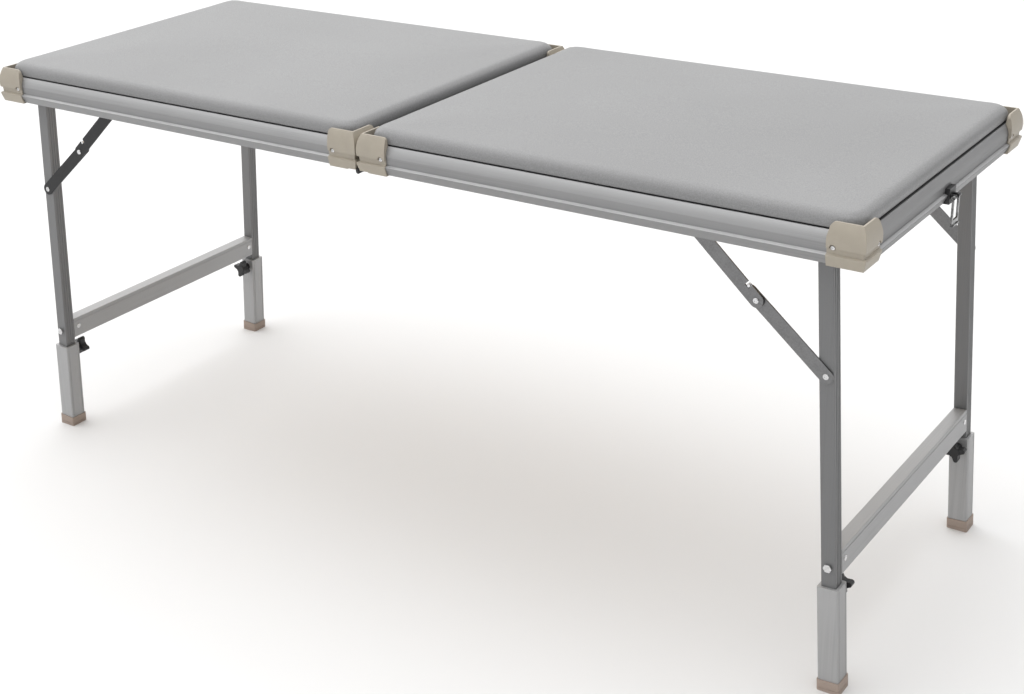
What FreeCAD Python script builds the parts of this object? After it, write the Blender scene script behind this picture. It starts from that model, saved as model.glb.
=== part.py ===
import FreeCAD, Part
import math
import os

# Folding treatment couch: two padded halves hinged at the middle, each on a
# folding leg frame with telescopic feet. Millimetres. The origin is on the
# floor under the middle of the seam, +X along the length, +Z up.
# Left is -X, right is +X, front is -Y, back is +Y.

V = FreeCAD.Vector
X_AXIS = V(1, 0, 0)
Y_AXIS = V(0, 1, 0)
Z_AXIS = V(0, 0, 1)

# ---- overall size ----
LENGTH = 1860.0
WIDTH = 700.0
SEAM_GAP = 2.0
HALF_LENGTH = LENGTH / 2
HALF_WIDTH = WIDTH / 2
SEAM_X = SEAM_GAP / 2

# ---- heights ----
HINGE_Z = 749.0
FRAME_Z = 749.5
BOARD_BOTTOM_Z = 797.0
BOARD_TOP_Z = 802.0
CUSHION_BOTTOM_Z = 802.3
CUSHION_TOP_Z = 834.0

# ---- rails: depth is measured inward from the outer face of the couch ----
RAIL_DEPTH = 22.0
RAIL_BOTTOM = 1.5
RAIL_TOP = 52.5
RAIL_WALL = 2.0
LEDGE_DEPTH = 15.0
LEDGE_HEIGHT = 47.5
BOARD_EDGE_DEPTH = 15.3
CUSHION_DEPTH = 13.0
CUSHION_CORNER = 30.0
CUSHION_EDGE = 22.0

# ---- corner caps ----
CAP_WING = 62.0
CAP_TOP = 68.7
CAP_WALL_FOOT = 1.2
SCREW_OFFSET = 52.0
SCREW_HEIGHT = 29.5
SCREW_HEAD_R = 3.8
SCREW_HEAD_HEIGHT = 2.4
SCREW_SLOT = 1.0
SCREW_RECESS_R = 5.2
SCREW_DEPTH = 4.3

# ---- middle hinges ----
BARREL_R = 4.5
HINGE_PIN_R = 2.5
HINGE_INNER_Y = 262.0
HINGE_OUTER_Y = 346.0
LEAF_OUTER_Y = 326.0
LEAF_REACH = 23.0
LEAF_THICKNESS = 1.8
KNUCKLE_GAP = 0.4

# ---- leg frames: distances along a leg are counted from its pivot ----
PIVOT_X = 852.3
PIVOT_Z = 770.5
LEG_Y = 300.0
SPLAY_DEG = 3.6
TUBE = 25.0
TUBE_WALL = 2.0
TUBE_EDGE = 1.5
TUBE_TOP = -14.0
TUBE_BOTTOM = 735.5
TUBE_GROOVES = (-6.0, 0.0, 6.0)
TUBE_GROOVE = 2.2
GROOVE_DEPTH = 0.7
PIVOT_BOLT_R = 4.0
PIVOT_BOLT_PAST_LEG = 8.0
PIVOT_SPACER_R = 9.5
PIVOT_NUT_R = 7.5
PIVOT_NUT = 5.0
WASHER_GAP = 0.4
CROSSBAR_AT = 543.5
CROSSBAR_HEIGHT = 44.0
CROSSBAR_PORT = 6.0
CROSSBAR_GROOVE = 1.6
CROSSBAR_GROOVE_BELOW_TOP = 8.0
CROSSBAR_BOLT_R = 3.0
LEG_BOLT_HEAD_R = 7.5
LEG_BOLT_HEAD = 5.0
CROSSBAR_RIVET_R = 5.2
CROSSBAR_RIVET_HEIGHT = 1.6
CROSSBAR_RIVET_FROM_LEG = 12.0
CROSSBAR_RIVET_LIFT = 2.0

# ---- telescopic feet ----
SLEEVE = 36.0
SLEEVE_BORE = 25.6
SLEEVE_CHAMFER = 1.8
SLEEVE_TOP = 579.5
SLEEVE_BOTTOM = 766.0
SLEEVE_GROOVES = (-12.5, 12.5)
SLEEVE_GROOVE = 1.4
FOOT = 39.4
FOOT_EDGE = 3.0
FOOT_GROOVE = 1.2
FOOT_TOP = 751.0
FOOT_FLOOR = 766.1
FOOT_END = 775.5

# ---- star knobs ----
KNOB_AT = 597.5
KNOB_R = 21.0
KNOB_ARMS = 4
KNOB_TURN_DEG = 12.0
KNOB_TIP_R = 4.6
KNOB_ARM_ROOT = 8.0
KNOB_ARM_END = 4.4
KNOB_HUB_R = 10.5
KNOB_COLLAR_R = 8.0
KNOB_COLLAR = 12.0
KNOB_HEIGHT = 13.0
KNOB_GAP = 0.5
KNOB_STUD_R = 3.95
KNOB_STUD_IN = 5.6

# ---- stays: two flat links from each leg to the long rail ----
STAY_ON_LEG = 213.5
STAY_TOP_X = 626.0
STAY_TOP_Z = 772.5
STAY_DROP = 3.0
LINK_HALF_WIDTH = 12.0
LINK_THICKNESS = 2.5
LOWER_LINK_Y = 313.0
UPPER_LINK_Y = 317.3
STAY_TAIL = 16.0
STAY_STOP_REACH = 24.0
STAY_STOP_OFFSET = 8.0
STAY_STOP_R = 2.5
STAY_STOP_GAP = 0.4
STAY_COLLAR_R = 3.7
STAY_COLLAR = 1.1
STAY_BOSS = 1.2
STAY_NOTCH = 9.0
STAY_NOTCH_FLOOR = 3.8
STAY_PIN_R = 4.0
STAY_PIN = 4.0
STAY_POST_R = 9.0
STAY_PLAY = 0.3
RIVET_HEAD_R = 5.0
RIVET_HEAD = 2.2
LEG_RIVET_HEAD = 0.9
RIVET_DIMPLE_R = 2.2
RIVET_DIMPLE = 0.6

# ---- carrying handle ----
HANDLE_X = -465.0
HANDLE_Y = 357.0
HANDLE_Z = 776.5
HANDLE_HALF_WIDTH = 63.0
HANDLE_TAPER = 4.0
HANDLE_ABOVE_PIN = 8.0
HANDLE_DROP = 54.0
HANDLE_THICK = 18.0
HANDLE_LEG = 14.0
HANDLE_GRIP = 15.0
HANDLE_EDGE = 3.0
HANDLE_GROOVES = (-3.5, 3.5)
HANDLE_GROOVE = 2.0
HANDLE_GROOVE_DEPTH = 1.2
HANDLE_GROOVE_END = 4.0
HANDLE_PIN_R = 3.0
BRACKET_PLAY = 2.0
BRACKET_DEPTH = 8.4
BRACKET_THICKNESS = 4.0
BRACKET_LOW = 20.0
BRACKET_HIGH = 33.0
EAR_THICKNESS = 2.0
EAR_PAST_PIN = 5.0
EAR_BELOW_PIN = 6.0
EAR_ABOVE_PIN = 4.0

# ---- latch on the end rails ----
LATCH_X = 937.0
LATCH_PIN_R = 2.0
LATCH_BASE_DEPTH = 9.0
LATCH_BASE_HALF_WIDTH = 14.0
LOOP_BASE_SPAN = (2.0, 28.0)
LOOP_BASE_PROUD = 1.2
LOOP_EYE_SPAN = (4.0, 8.6)
LATCH_EYE_R = 3.6
LOOP_Z = 763.0
LOOP_DROP = 48.0
LOOP_HALF_WIDTH = 14.5
LOOP_BAR = 4.6
LOOP_THICKNESS = 3.2
LOOP_FOOT = 10.0
LOOP_LIP = 2.0
LEVER_BASE_SPAN = (6.0, 48.0)
LEVER_BASE_PROUD = 1.0
LEVER_EAR_SPAN = (8.4, 10.6)
LEVER_EAR_HALF = 4.0
LEVER_EAR_PAST_PIN = 3.0
LEVER_Z = 764.5
LEVER_TOP_Z = 797.5
LEVER_FRONT = 3.4
LEVER_PLATE = 1.8
LEVER_HALF_WIDTH = 14.0
LEVER_PLATE_LOW = 5.0
LEVER_LIP = 4.0
LEVER_RIBS = (-7.0, 0.0, 7.0)
LEVER_RIB_HALF = 1.2
LEVER_RIB_PROUD = 0.8
LEVER_RIB_LOW = 10.0
LEVER_RIB_HIGH = 5.0
LEVER_CHEEK_SPAN = (6.0, 8.0)
LEVER_CHEEK_R = 3.0
LEVER_CHEEK_HIGH = 14.0
LEVER_BAR_R = 1.8
LEVER_BAR_HIGH = 11.0

# ---- fits ----
RUNNING = 0.05
SMALL = 0.1
PRESS = 0.02

# ---- making: bite joins two pieces of one solid, over is a cutter's overshoot ----
BITE = 0.5
OVER = 1.0
ARC = "arc"
DOME = 0.65


def box(x0, x1, y0, y1, z0, z1):
    return Part.makeBox(x1 - x0, y1 - y0, z1 - z0, V(x0, y0, z0))


def cylinder(radius, start, axis, length):
    return Part.makeCylinder(radius, length, start, axis)


def face_of(points):
    return Part.Face(Part.makePolygon(points + [points[0]]))


def fused(shapes):
    whole = shapes[0].multiFuse(shapes[1:]) if len(shapes) > 1 else shapes[0]
    return whole.removeSplitter()


def mirror_x(shape):
    return shape.mirror(V(0, 0, 0), X_AXIS)


def mirror_y(shape):
    return shape.mirror(V(0, 0, 0), Y_AXIS)


def placed(shape, side, end):
    """A shape of the right back quarter, moved to its own side and end."""
    if side == "left":
        shape = mirror_x(shape)
    if end == "front":
        shape = mirror_y(shape)
    return shape


def fillet_where(shape, radius, keep):
    edges = [edge for edge in shape.Edges if keep(edge)]
    return shape.makeFillet(radius, edges) if edges else shape


def is_line_along(edge, axis):
    if not isinstance(edge.Curve, Part.Line):
        return False
    return abs(abs(edge.Curve.Direction.dot(axis)) - 1) < 1e-6


def export(name, shape):
    solids = shape.Solids
    whole = solids[0] if len(solids) == 1 else Part.makeCompound(solids)
    for solid in solids:
        if not solid.isValid() or solid.Volume <= 0:
            print("not a sound solid:", name, solid.Volume)
    whole.exportStep(os.path.join("parts", name + ".step"))


# ------------------------------------------------------------------ the rails

def rail_outline():
    """Depth and height of the extrusion: lower band, ridge, flat band, rounded shoulder."""
    outside = [(9.0, RAIL_BOTTOM), (2.2, 15.8), (2.2, 17.2), (7.4, 19.2), (6.0, 35.0),
               (8.4, 44.2, ARC), (13.0, RAIL_TOP)]
    inside = [(LEDGE_DEPTH, RAIL_TOP), (LEDGE_DEPTH, LEDGE_HEIGHT),
              (RAIL_DEPTH, LEDGE_HEIGHT), (RAIL_DEPTH, RAIL_BOTTOM)]
    return outside + inside


def rail_cavity():
    far = RAIL_DEPTH - RAIL_WALL
    low = RAIL_BOTTOM + RAIL_WALL
    high = LEDGE_HEIGHT - RAIL_WALL
    return [(far, low), (10.4, low), (4.9, 15.6), (9.4, 18.6), (8.2, 34.6), (12.0, high), (far, high)]


def section(outline, place):
    """Face inside an outline; a point marked ARC lies on an arc between its neighbours."""
    count = len(outline)
    corners = [n for n, point in enumerate(outline) if ARC not in point]
    edges = []
    for n, m in zip(corners, corners[1:] + corners[:1]):
        start, end = place(*outline[n][:2]), place(*outline[m][:2])
        if (m - n) % count == 2:
            through = place(*outline[(n + 1) % count][:2])
            edges.append(Part.Arc(start, through, end).toShape())
        else:
            edges.append(Part.makeLine(start, end))
    return Part.Face(Part.Wire(edges))


def profile_along_x(outline, x0, x1):
    """A prism along X with its outer face towards the back, +Y."""
    face = section(outline, lambda depth, height: V(x0, HALF_WIDTH - depth, FRAME_Z + height))
    return face.extrude(V(x1 - x0, 0, 0))


def profile_along_y(outline, face_x, inward, y0, y1):
    """A prism along Y; inward is +1 or -1, the way depth grows along X."""
    face = section(outline, lambda depth, height: V(face_x + inward * depth, y0, FRAME_Z + height))
    return face.extrude(V(0, y1 - y0, 0))


def mitre_x(x0, x1, depth, z0, z1):
    """The space of a back rail between the 45 degree mitres at its two ends."""
    y = HALF_WIDTH
    points = [V(x0, y, z0), V(x1, y, z0), V(x1 - depth, y - depth, z0), V(x0 + depth, y - depth, z0)]
    return face_of(points).extrude(V(0, 0, z1 - z0))


def mitre_y(face_x, inward, depth, z0, z1):
    """The space of an end rail between the mitres at its two ends."""
    y = HALF_WIDTH
    inner = face_x + inward * depth
    points = [V(face_x, -y, z0), V(face_x, y, z0), V(inner, y - depth, z0), V(inner, -y + depth, z0)]
    return face_of(points).extrude(V(0, 0, z1 - z0))


def long_rail():
    z0, z1 = FRAME_Z, FRAME_Z + RAIL_TOP + SMALL
    solid = profile_along_x(rail_outline(), SEAM_X, HALF_LENGTH)
    hollow = profile_along_x(rail_cavity(), SEAM_X, HALF_LENGTH)
    return solid.cut(hollow).common(mitre_x(SEAM_X, HALF_LENGTH, RAIL_DEPTH, z0, z1))


def cross_rail(face_x, inward):
    z0, z1 = FRAME_Z, FRAME_Z + RAIL_TOP + SMALL
    solid = profile_along_y(rail_outline(), face_x, inward, -HALF_WIDTH, HALF_WIDTH)
    hollow = profile_along_y(rail_cavity(), face_x, inward, -HALF_WIDTH, HALF_WIDTH)
    return solid.cut(hollow).common(mitre_y(face_x, inward, RAIL_DEPTH, z0, z1))


# ------------------------------------------------------------ the corner caps

def cap_outline(with_foot):
    """Depth and height of the moulding: it follows the rail, with a bulging body above."""
    outside = [(4.5, 0.0), (0.5, 14.6), (0.5, 17.8), (4.5, 19.8), (4.0, 28.2), (1.0, 29.0),
               (1.5, 50.0, ARC), (8.2, CAP_TOP)]
    rail_side = [(11.2, CAP_TOP), (12.4, RAIL_TOP + SMALL), (7.9, 44.4, ARC), (5.5, 35.0),
                 (6.8, 19.5), (1.9, 17.5), (1.9, 15.5), (8.6, CAP_WALL_FOOT)]
    foot = [(RAIL_DEPTH, CAP_WALL_FOOT), (RAIL_DEPTH, 0.0)]
    return outside + rail_side + (foot if with_foot else [(8.6, 0.0)])


def wing_end(at_seam):
    """What is cut from the upper corner of a wing: distance from its end and below its top."""
    if at_seam:
        return [(6.0, 0.0), (1.8, 1.8, ARC), (0.0, 6.0), (-1.0, 6.0), (-1.0, -1.0), (6.0, -1.0)]
    return [(11.0, 0.0), (5.6, 3.0, ARC), (2.8, 10.0), (0.0, 22.0), (-1.0, 22.0), (-1.0, -1.0),
            (11.0, -1.0)]


def wing_knives(corner_x, along, at_seam):
    top = FRAME_Z + CAP_TOP
    far_x = corner_x + along * CAP_WING
    far_y = HALF_WIDTH - CAP_WING
    x_end = section(wing_end(at_seam), lambda back, below: V(far_x - along * back, far_y, top - below))
    y_end = section(wing_end(at_seam), lambda back, below: V(corner_x, far_y + back, top - below))
    return [x_end.extrude(V(0, CAP_WING, 0)), y_end.extrude(V(along * CAP_WING, 0, 0))]


def corner_cap(corner_x, along, at_seam):
    """L-shaped moulding of the back corner at corner_x; along points into the half."""
    depth = CAP_WING
    z0 = FRAME_Z - SMALL
    rise = V(0, 0, CAP_TOP + 2 * SMALL)
    y = HALF_WIDTH
    tip = V(corner_x, y, z0)
    inner = V(corner_x + along * depth, y - depth, z0)
    x_far = V(corner_x + along * depth, y, z0)
    y_far = V(corner_x, y - depth, z0)
    span = sorted((corner_x, corner_x + along * depth))
    x_wing = profile_along_x(cap_outline(True), span[0], span[1])
    y_wing = profile_along_y(cap_outline(not at_seam), corner_x, along, y - depth, y)
    x_wing = x_wing.common(face_of([tip, x_far, inner]).extrude(rise))
    y_wing = y_wing.common(face_of([tip, inner, y_far]).extrude(rise))
    solid = fused([x_wing, y_wing])
    for knife in wing_knives(corner_x, along, at_seam):
        solid = solid.cut(knife)
    for point, outward in cap_screw_places(corner_x, along, at_seam):
        solid = solid.cut(cylinder(SCREW_RECESS_R, point - outward * SCREW_DEPTH, outward, CAP_WING))
    if at_seam:
        leaf_top = HINGE_Z + LEAF_THICKNESS + KNUCKLE_GAP
        solid = solid.cut(box(0, LEAF_REACH, HINGE_INNER_Y, HINGE_OUTER_Y, 0, leaf_top))
    return solid


def cap_screw_places(corner_x, along, at_seam):
    """Point on the outer face and outward direction of each screw of a cap."""
    z = FRAME_Z + SCREW_HEIGHT
    places = [(V(corner_x + along * SCREW_OFFSET, HALF_WIDTH, z), Y_AXIS)]
    if not at_seam:
        places.append((V(corner_x, HALF_WIDTH - SCREW_OFFSET, z), X_AXIS * -along))
    return places


def domed_head(radius, base, outward, height):
    """Round head that stands on base, with a rounded outer edge."""
    head = cylinder(radius, base, outward, height)
    rim = [edge for edge in head.Edges
           if all(abs((vertex.Point - base).dot(outward) - height) < 1e-6 for vertex in edge.Vertexes)]
    return head.makeFillet(height * DOME, rim)


def cap_screw(place):
    """Cross-slotted pan screw that stands on the floor of its recess."""
    point, outward = place
    height = SCREW_HEAD_HEIGHT
    head = domed_head(SCREW_HEAD_R, V(0, 0, 0), Z_AXIS, height)
    reach, half = SCREW_HEAD_R / 2, SCREW_SLOT / 2
    head = head.cut(box(-reach, reach, -half, half, height - SCREW_SLOT, height))
    head = head.cut(box(-half, half, -reach, reach, height - SCREW_SLOT, height))
    base = point - outward * (SCREW_DEPTH - PRESS)
    head.Placement = FreeCAD.Placement(base, FreeCAD.Rotation(Z_AXIS, outward))
    return head


# -------------------------------------------------------- boards and cushions

def board():
    depth = BOARD_EDGE_DEPTH
    return box(SEAM_X + depth, HALF_LENGTH - depth, -HALF_WIDTH + depth, HALF_WIDTH - depth,
               BOARD_BOTTOM_Z + SMALL, BOARD_TOP_Z)


def cushion():
    depth = CUSHION_DEPTH
    block = box(SEAM_X + depth, HALF_LENGTH - depth, -HALF_WIDTH + depth, HALF_WIDTH - depth,
                CUSHION_BOTTOM_Z, CUSHION_TOP_Z)
    block = fillet_where(block, CUSHION_CORNER, lambda edge: is_line_along(edge, Z_AXIS))
    return fillet_where(block, CUSHION_EDGE,
                        lambda edge: all(abs(v.Z - CUSHION_TOP_Z) < 1e-6 for v in edge.Vertexes))


# --------------------------------------------------------- the middle hinges

def knuckle(y0, y1):
    return cylinder(BARREL_R, V(0, y0, HINGE_Z), Y_AXIS, y1 - y0)


def hinge_knuckle_spans():
    """Three knuckles of each hinge: the outer two on the left leaf, the middle on the right."""
    third = (HINGE_OUTER_Y - HINGE_INNER_Y) / 3
    one, two = HINGE_INNER_Y + third, HINGE_INNER_Y + 2 * third
    half = KNUCKLE_GAP / 2
    return (HINGE_INNER_Y, one - half), (one + half, two - half), (two + half, HINGE_OUTER_Y)


def hinge_leaf(side):
    """One leaf of the back hinge, screwed under the centre rail."""
    first, middle, last = hinge_knuckle_spans()
    spans = [middle] if side == "right" else [first, last]
    others = [first, last] if side == "right" else [middle]
    z0 = HINGE_Z + SMALL
    z1 = z0 + LEAF_THICKNESS
    sign = 1 if side == "right" else -1
    x_span = sorted((0.0, sign * LEAF_REACH))
    plate = box(x_span[0], x_span[1], HINGE_INNER_Y, LEAF_OUTER_Y, z0, z1)
    for y0, y1 in others:
        clear = BARREL_R + KNUCKLE_GAP
        plate = plate.cut(box(-clear, clear, y0 - KNUCKLE_GAP, y1 + KNUCKLE_GAP, z0 - OVER, z1 + OVER))
    leaf = fused([plate] + [knuckle(y0, y1) for y0, y1 in spans])
    return leaf.cut(hinge_rod(HINGE_PIN_R + RUNNING))


def hinge_rod(radius):
    """The hinge pin's cylinder, a little proud of the knuckles at both ends."""
    length = HINGE_OUTER_Y - HINGE_INNER_Y + 2 * OVER
    return cylinder(radius, V(0, HINGE_INNER_Y - OVER, HINGE_Z), Y_AXIS, length)


# --------------------------------------------------------------- leg frames

def down(distance):
    """Height of a point on a leg, counted along the leg from its pivot."""
    return PIVOT_Z - distance


def splayed(shape):
    """Leans an upright right leg part outward about the leg pivot."""
    turned = shape.copy()
    turned.rotate(V(PIVOT_X, 0, PIVOT_Z), Y_AXIS, -SPLAY_DEG)
    return turned


def square_bar(size, x, y, top, bottom):
    half = size / 2
    return box(x - half, x + half, y - half, y + half, down(bottom), down(top))


def edge_rounded(bar, radius):
    return fillet_where(bar, radius, lambda edge: is_line_along(edge, Z_AXIS))


def face_grooves(size, offsets, width, top, bottom):
    """Upright grooves in the two faces of a leg bar that look along X."""
    half = size / 2
    grooves = []
    for sign in (-1, 1):
        face = PIVOT_X + sign * half
        for offset in offsets:
            y = LEG_Y + offset
            grooves.append(box(face - GROOVE_DEPTH, face + GROOVE_DEPTH, y - width / 2, y + width / 2,
                               down(bottom), down(top)))
    return grooves


def leg_tube():
    top, bottom = TUBE_TOP - OVER, TUBE_BOTTOM + OVER
    bar = edge_rounded(square_bar(TUBE, PIVOT_X, LEG_Y, TUBE_TOP, TUBE_BOTTOM), TUBE_EDGE)
    bar = bar.cut(square_bar(TUBE - 2 * TUBE_WALL, PIVOT_X, LEG_Y, top, bottom))
    for groove in face_grooves(TUBE, TUBE_GROOVES, TUBE_GROOVE, top, bottom):
        bar = bar.cut(groove)
    for radius, z in ((PIVOT_BOLT_R + RUNNING, PIVOT_Z), (CROSSBAR_BOLT_R + SMALL, down(CROSSBAR_AT))):
        bar = bar.cut(cylinder(radius, V(PIVOT_X, LEG_Y - TUBE, z), Y_AXIS, 2 * TUBE))
    return splayed(bar)


def crossbar():
    half_x, half_z = TUBE / 2, CROSSBAR_HEIGHT / 2
    reach = LEG_Y - TUBE / 2 - SMALL
    past = reach + OVER
    z = down(CROSSBAR_AT)
    bar = box(PIVOT_X - half_x, PIVOT_X + half_x, -reach, reach, z - half_z, z + half_z)
    bar = fillet_where(bar, TUBE_EDGE, lambda edge: is_line_along(edge, Y_AXIS))
    inner_x, inner_z = half_x - TUBE_WALL, half_z - TUBE_WALL
    for low, high in ((CROSSBAR_PORT, inner_z), (-inner_z, -CROSSBAR_PORT)):
        bar = bar.cut(box(PIVOT_X - inner_x, PIVOT_X + inner_x, -past, past, z + low, z + high))
    groove_z = z + half_z - CROSSBAR_GROOVE_BELOW_TOP
    for sign in (-1, 1):
        face = PIVOT_X + sign * half_x
        bar = bar.cut(box(face - GROOVE_DEPTH, face + GROOVE_DEPTH, -past, past,
                          groove_z, groove_z + CROSSBAR_GROOVE))
    bar = bar.cut(cylinder(CROSSBAR_BOLT_R + SMALL, V(PIVOT_X, -past, z), Y_AXIS, 2 * past))
    return splayed(bar)


def hex_prism(radius, start, axis, length):
    points = [V(radius * math.cos(math.pi / 3 * k), radius * math.sin(math.pi / 3 * k), 0)
              for k in range(6)]
    prism = face_of(points).extrude(V(0, 0, length))
    prism.Placement = FreeCAD.Placement(start, FreeCAD.Rotation(Z_AXIS, axis))
    return prism


def leg_bolt():
    """Hex bolt through the leg into the screw port of the crossbar."""
    face_y = LEG_Y + TUBE / 2
    z = down(CROSSBAR_AT)
    head = hex_prism(LEG_BOLT_HEAD_R, V(PIVOT_X, face_y + PRESS, z), Y_AXIS, LEG_BOLT_HEAD)
    shank = cylinder(CROSSBAR_BOLT_R, V(PIVOT_X, face_y - 2 * TUBE, z), Y_AXIS, 2 * TUBE + OVER)
    return splayed(fused([head, shank]))


def crossbar_rivet(sign):
    """Domed rivet in the crossbar's side, close to the leg."""
    start = V(PIVOT_X + sign * (TUBE / 2 + PRESS), LEG_Y - TUBE / 2 - CROSSBAR_RIVET_FROM_LEG,
              down(CROSSBAR_AT - CROSSBAR_RIVET_LIFT))
    return splayed(domed_head(CROSSBAR_RIVET_R, start, X_AXIS * sign, CROSSBAR_RIVET_HEIGHT))


# ------------------------------------------------------------ telescopic feet

def sleeve():
    top, bottom = SLEEVE_TOP - OVER, SLEEVE_BOTTOM + OVER
    tube = square_bar(SLEEVE, PIVOT_X, LEG_Y, SLEEVE_TOP, SLEEVE_BOTTOM)
    tube = tube.makeChamfer(SLEEVE_CHAMFER, [edge for edge in tube.Edges if is_line_along(edge, Z_AXIS)])
    for groove in face_grooves(SLEEVE, SLEEVE_GROOVES, SLEEVE_GROOVE, top, bottom):
        tube = tube.cut(groove)
    tube = tube.cut(square_bar(SLEEVE_BORE, PIVOT_X, LEG_Y, top, bottom))
    hole = V(PIVOT_X, LEG_Y - SLEEVE / 2 - OVER, down(KNOB_AT))
    return splayed(tube.cut(cylinder(KNOB_STUD_R + RUNNING, hole, Y_AXIS, SLEEVE / 2)))


def foot():
    """Plastic shoe on the end of the sleeve, its sole level with the floor."""
    shoe = edge_rounded(square_bar(FOOT, PIVOT_X, LEG_Y, FOOT_TOP, FOOT_END), FOOT_EDGE)
    shoe = shoe.cut(square_bar(SLEEVE + 2 * SMALL, PIVOT_X, LEG_Y, FOOT_TOP - OVER, FOOT_FLOOR))
    groove = square_bar(FOOT + OVER, PIVOT_X, LEG_Y, FOOT_FLOOR - FOOT_GROOVE, FOOT_FLOOR)
    core = square_bar(FOOT - FOOT_GROOVE, PIVOT_X, LEG_Y, FOOT_FLOOR - 2 * FOOT_GROOVE, FOOT_FLOOR + OVER)
    shoe = splayed(shoe.cut(groove.cut(core)))
    sole_x = leg_point(FOOT_END)[0]
    below_floor = box(sole_x - FOOT, sole_x + FOOT, LEG_Y - FOOT, LEG_Y + FOOT, -FOOT, 0)
    return shoe.cut(below_floor)


def star_knob():
    """Clamping knob on the sleeve's inner face: collar, tapered arms round a hub, stud."""
    z = down(KNOB_AT)
    start_y = LEG_Y - SLEEVE / 2 - KNOB_GAP
    low_y = start_y - KNOB_COLLAR - KNOB_HEIGHT
    collar = cylinder(KNOB_COLLAR_R, V(PIVOT_X, start_y - KNOB_COLLAR - OVER, z), Y_AXIS, KNOB_COLLAR + OVER)
    hub = cylinder(KNOB_HUB_R, V(PIVOT_X, low_y - OVER, z), Y_AXIS, KNOB_HEIGHT + OVER)
    arms = []
    reach = KNOB_R - KNOB_TIP_R
    root, end = KNOB_ARM_ROOT, KNOB_ARM_END
    for k in range(KNOB_ARMS):
        tip = cylinder(KNOB_TIP_R, V(reach, 0, 0), Y_AXIS, KNOB_HEIGHT)
        web = face_of([V(0, 0, -root), V(reach, 0, -end), V(reach, 0, end), V(0, 0, root)])
        arm = fused([tip, web.extrude(V(0, KNOB_HEIGHT, 0))])
        arm.rotate(V(0, 0, 0), Y_AXIS, -KNOB_TURN_DEG - k * 360 / KNOB_ARMS)
        arm.translate(V(PIVOT_X, low_y, z))
        arms.append(arm)
    stud = cylinder(KNOB_STUD_R, V(PIVOT_X, start_y - OVER, z), Y_AXIS, KNOB_STUD_IN + OVER)
    return splayed(fused([collar, hub, stud] + arms))


# --------------------------------------------------------------------- stays

def leg_point(distance):
    """X and Z of a point on the splayed leg's centre line."""
    angle = math.radians(SPLAY_DEG)
    return PIVOT_X + distance * math.sin(angle), PIVOT_Z - distance * math.cos(angle)


def stay_geometry():
    """Top pivot, middle pivot and leg rivet of a stay, and the lengths of its links.

    The links lie nearly straight when the leg is out. They lie along the leg,
    folded on each other, when it is in, which fixes the difference of their lengths.
    """
    leg_x, leg_z = leg_point(STAY_ON_LEG)
    span = math.hypot(leg_x - STAY_TOP_X, leg_z - STAY_TOP_Z)
    folded_gap = PIVOT_X - STAY_ON_LEG - STAY_TOP_X
    upper = math.hypot((span + folded_gap) / 2, STAY_DROP)
    lower = math.hypot((span - folded_gap) / 2, STAY_DROP)
    along = (span ** 2 + upper ** 2 - lower ** 2) / (2 * span)
    off = math.sqrt(upper ** 2 - along ** 2)
    ux, uz = (leg_x - STAY_TOP_X) / span, (leg_z - STAY_TOP_Z) / span
    mid_x = STAY_TOP_X + along * ux + off * uz
    mid_z = STAY_TOP_Z + along * uz - off * ux
    return (STAY_TOP_X, STAY_TOP_Z), (mid_x, mid_z), (leg_x, leg_z), upper, lower


def slot_shape(length, extra, half_width, y0, thickness):
    """Round-ended bar along +X from its first pivot at the origin."""
    bar = box(0, length + extra, y0, y0 + thickness, -half_width, half_width)
    ends = [cylinder(half_width, V(0, y0, 0), Y_AXIS, thickness),
            cylinder(half_width, V(length + extra, y0, 0), Y_AXIS, thickness)]
    return fused([bar] + ends)


def aimed(shape, start, end):
    """Turns a bar drawn along +X so that it runs from start to end."""
    angle = math.degrees(math.atan2(end[1] - start[1], end[0] - start[0]))
    shape.rotate(V(0, 0, 0), Y_AXIS, -angle)
    shape.translate(V(start[0], 0, start[1]))
    return shape


def rivet_head(base, height):
    """Domed head of a semi-tubular rivet, with the dimple in its middle; it faces +Y."""
    head = domed_head(RIVET_HEAD_R, base, Y_AXIS, height)
    return head.cut(cylinder(RIVET_DIMPLE_R, base + V(0, height - RIVET_DIMPLE, 0), Y_AXIS, height))


def lower_link():
    """Link from the leg rivet to the middle joint, with the stop stud on its tail."""
    top, mid, leg, upper, lower = stay_geometry()
    face_y = LOWER_LINK_Y + LINK_THICKNESS
    bar = slot_shape(lower, STAY_TAIL, LINK_HALF_WIDTH, LOWER_LINK_Y, LINK_THICKNESS)
    bar = bar.cut(cylinder(STAY_PIN_R + RUNNING, V(0, LOWER_LINK_Y - OVER, 0), Y_AXIS, 2 * LINK_THICKNESS))
    boss = cylinder(RIVET_HEAD_R, V(lower, face_y - BITE, 0), Y_AXIS, STAY_BOSS + BITE)
    stop = V(lower + STAY_STOP_REACH, face_y - BITE, -STAY_STOP_OFFSET)
    stud = cylinder(STAY_STOP_R, stop, Y_AXIS, UPPER_LINK_Y + LINK_THICKNESS - stop.y + BITE)
    collar = cylinder(STAY_COLLAR_R, stop, Y_AXIS, STAY_COLLAR + BITE)
    return aimed(fused([bar, boss, stud, collar]), leg, mid)


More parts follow.
